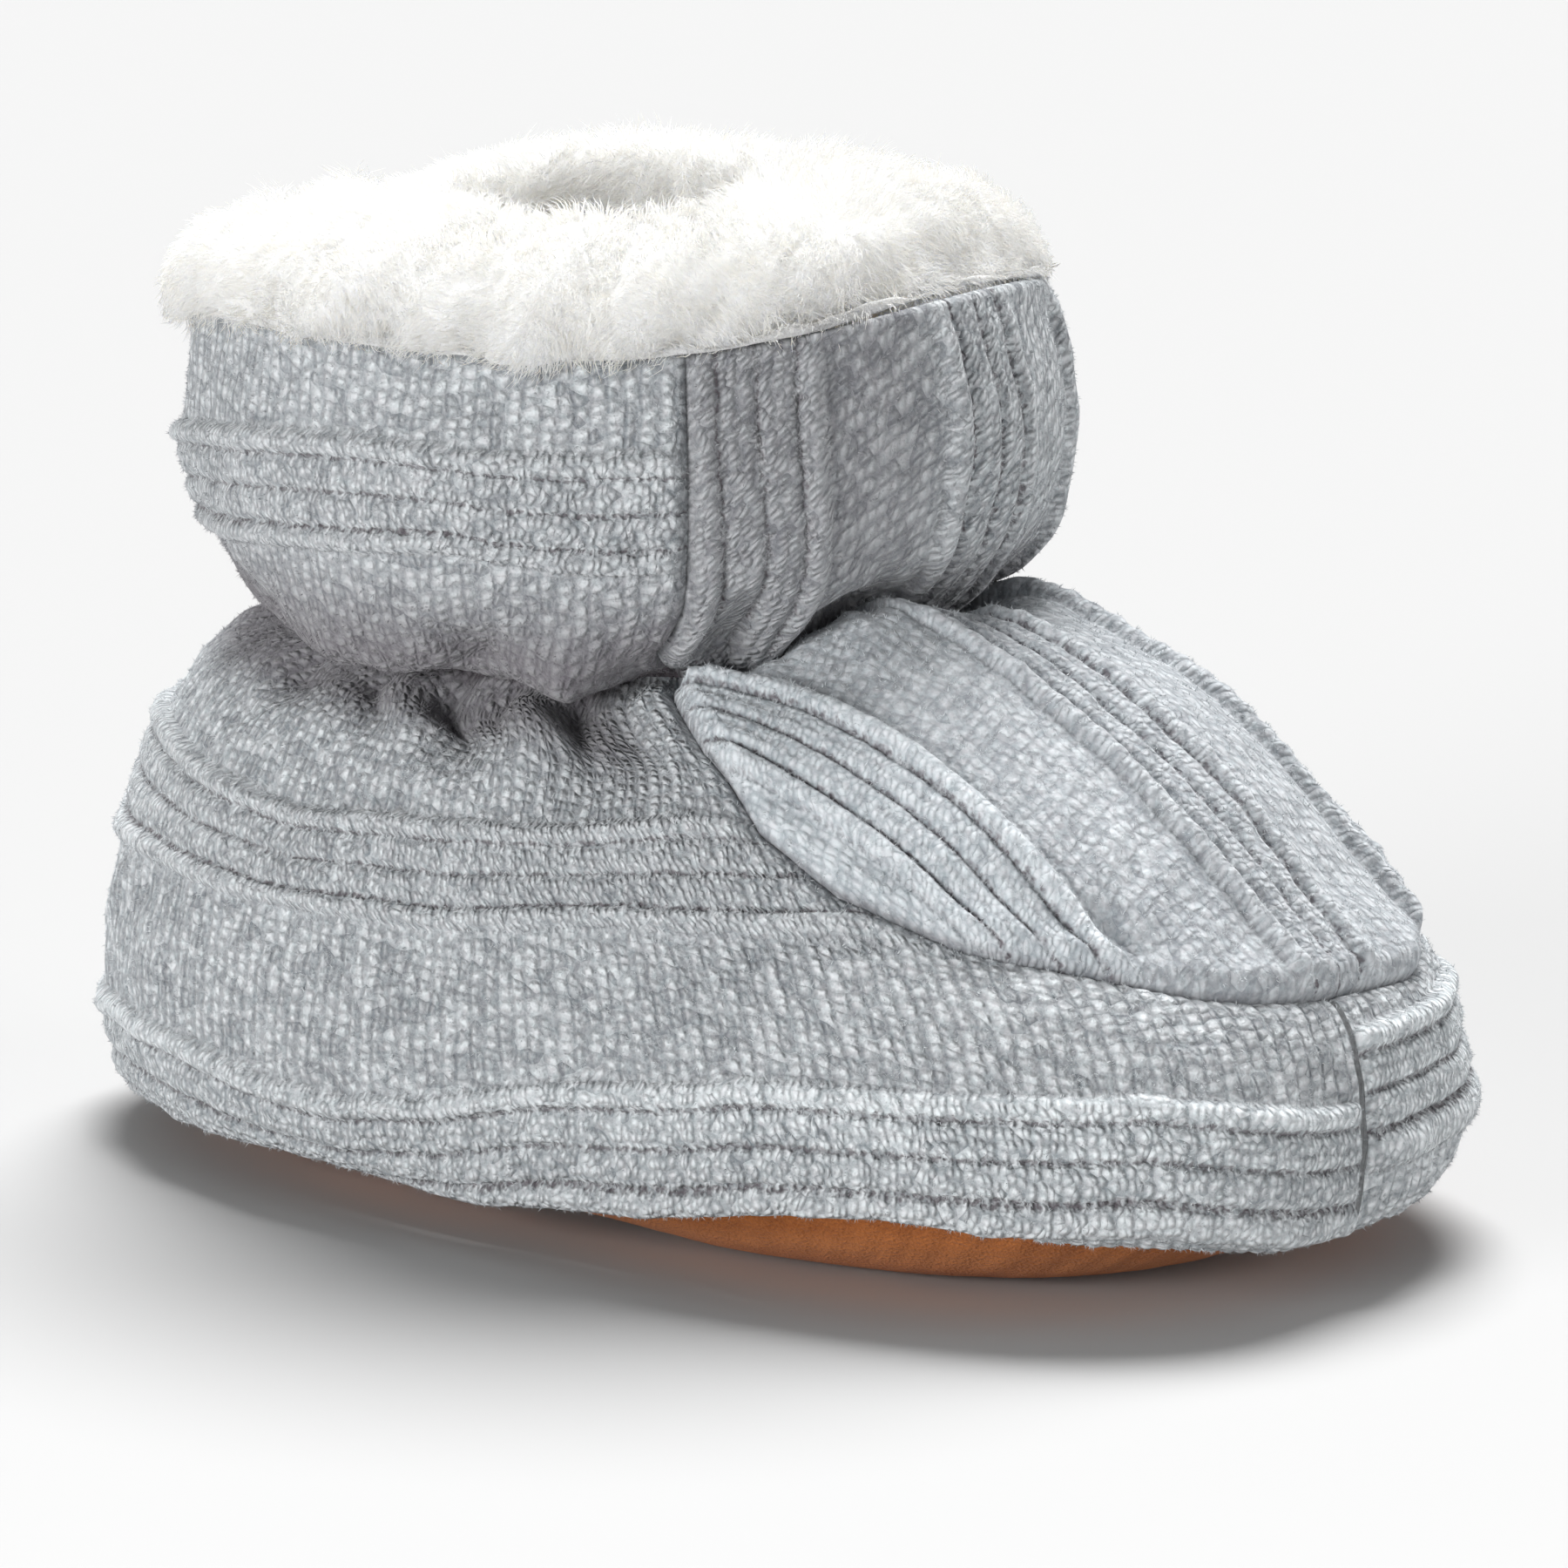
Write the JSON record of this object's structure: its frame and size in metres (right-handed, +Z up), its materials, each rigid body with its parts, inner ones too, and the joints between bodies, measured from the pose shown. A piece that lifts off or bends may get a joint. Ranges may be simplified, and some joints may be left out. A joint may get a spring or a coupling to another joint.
{
  "type": "bootie slipper",
  "caption": "Infant bootie slipper with a grey rib-knit upper, a rolled plush collar, a gathered ankle and a padded suede sole.",
  "frame": {"origin": "on the floor under the middle of the shoe's overall box", "axes": "+Z up, +X towards the toe, +Y to the shoe's left side"},
  "size_m": [0.1265, 0.0751, 0.0881],
  "materials": {
    "outsole": "tan suede with a short nap",
    "insole": "cream plush cloth",
    "upper": "grey chenille rib knit",
    "plush_cuff": "off-white deep plush"
  },
  "bodies": {
    "root": {"outsole": "outsole", "insole": "insole", "upper": "upper", "plush_cuff": "plush_cuff"}
  },
  "joints": []
}
